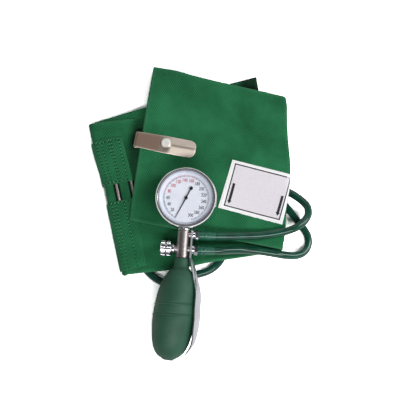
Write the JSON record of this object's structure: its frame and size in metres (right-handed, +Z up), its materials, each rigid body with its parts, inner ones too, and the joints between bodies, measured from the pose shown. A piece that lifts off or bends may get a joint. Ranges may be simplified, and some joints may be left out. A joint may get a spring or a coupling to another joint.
{
  "type": "aneroid sphygmomanometer",
  "caption": "Palm-type aneroid blood pressure gauge with release valve, thumb spoon and rubber bulb, joined by hoses to a folded cloth arm cuff with a hook closure and inflatable bladder.",
  "frame": {"origin": "on the table, on the underside of the folded cuff, under the middle of the object", "axes": "+Z up out of the table, +Y from the bulb towards the gauge and the far edge of the cuff, +X towards the hoses"},
  "size_m": [0.2177, 0.2907, 0.046],
  "materials": {
    "cloth": "woven twill, green",
    "label_cloth": "white woven label with a thin dark border",
    "hose_rubber": "smooth dark green rubber",
    "bulb_rubber": "matt green rubber",
    "bladder_rubber": "black rubber",
    "chrome": "bright chrome plate",
    "stem_chrome": "satin chrome plate",
    "nickel_sheet": "bright nickel-plated sheet",
    "lens_clear": "clear",
    "dial_white": "white enamel with a printed scale",
    "pointer_black": "black",
    "movement_brass": "plain brass",
    "arbor_steel": "plain steel",
    "capsule_bronze": "phosphor bronze",
    "seal_rubber": "black rubber"
  },
  "bodies": {
    "unit_and_cuff": {"hose_upper": "hose_rubber", "hose_lower": "hose_rubber", "cuff_pocket": "cloth", "bladder": "bladder_rubber", "cuff_panel": "cloth", "cuff_tail": "cloth", "cuff_fold_left": "cloth", "cuff_fold_right": "cloth", "closure_bars": "nickel_sheet", "bar_patch_upper": "cloth", "bar_patch_lower": "cloth", "closure_hook": "nickel_sheet", "label": "label_cloth", "gauge_case": "stem_chrome", "bezel_ring": "chrome", "lens": "lens_clear", "dial_spacer_ring": "dial_white", "dial_plate": "dial_white", "movement_base": "movement_brass", "movement_bridge": "movement_brass", "hairspring": "arbor_steel", "capsule": "capsule_bronze", "air_block": "movement_brass", "neck_collar": "chrome", "stem_body": "stem_chrome", "hose_nipple_upper": "chrome", "hose_nipple_lower": "chrome", "valve_body": "chrome", "thumb_spoon": "chrome", "bulb": "bulb_rubber", "bulb_end_valve": "chrome", "outlet_valve": "seal_rubber"},
    "pointer_shaft": {"pointer": "pointer_black", "pinion_arbor": "arbor_steel"},
    "sector": {"sector_gear": "movement_brass"},
    "lift": {"lift_pin": "arbor_steel"},
    "valve_stop": {"valve_seal": "seal_rubber"},
    "valve_screw": {"valve_needle": "arbor_steel", "valve_knob": "chrome"},
    "ball": {"inlet_ball": "arbor_steel"}
  },
  "joints": [
    {"name": "pointer_turn", "type": "hinge", "parent": "unit_and_cuff", "child": "pointer_shaft", "pos_m": [-0.00115, 0.00538, 0.03865], "axis": [0.0063, 0.0904, -0.9959], "range_deg": [0, 317.4]},
    {"name": "sector_turn", "type": "hinge", "parent": "unit_and_cuff", "child": "sector", "pos_m": [0.00873, 0.0205, 0.03346], "axis": [0.0063, 0.0904, -0.9959], "range_deg": [-31.74, 0]},
    {"name": "capsule_lift", "type": "slide", "parent": "unit_and_cuff", "child": "lift", "axis": [-0.0063, -0.0904, 0.9959], "range_m": [0, 0.0012]},
    {"name": "valve_travel", "type": "slide", "parent": "unit_and_cuff", "child": "valve_stop", "axis": [-0.9976, 0.0698, 0], "range_m": [0, 0.0012]},
    {"name": "valve_knob_turn", "type": "hinge", "parent": "valve_stop", "child": "valve_screw", "pos_m": [-0.0194, -0.04054, 0.02633], "axis": [-0.9976, 0.0698, 0], "range_deg": [0, 540]},
    {"name": "inlet_ball_lift", "type": "slide", "parent": "unit_and_cuff", "child": "ball", "axis": [0.1354, 0.9867, 0.0904], "range_m": [0, 0.0015]}
  ],
  "couplings": [
    {"joint": "pointer_turn", "follows": "capsule_lift", "rad_per_m": 4611.8},
    {"joint": "sector_turn", "follows": "capsule_lift", "rad_per_m": -461.18},
    {"joint": "valve_knob_turn", "follows": "valve_travel", "rad_per_m": 7846.1}
  ]
}
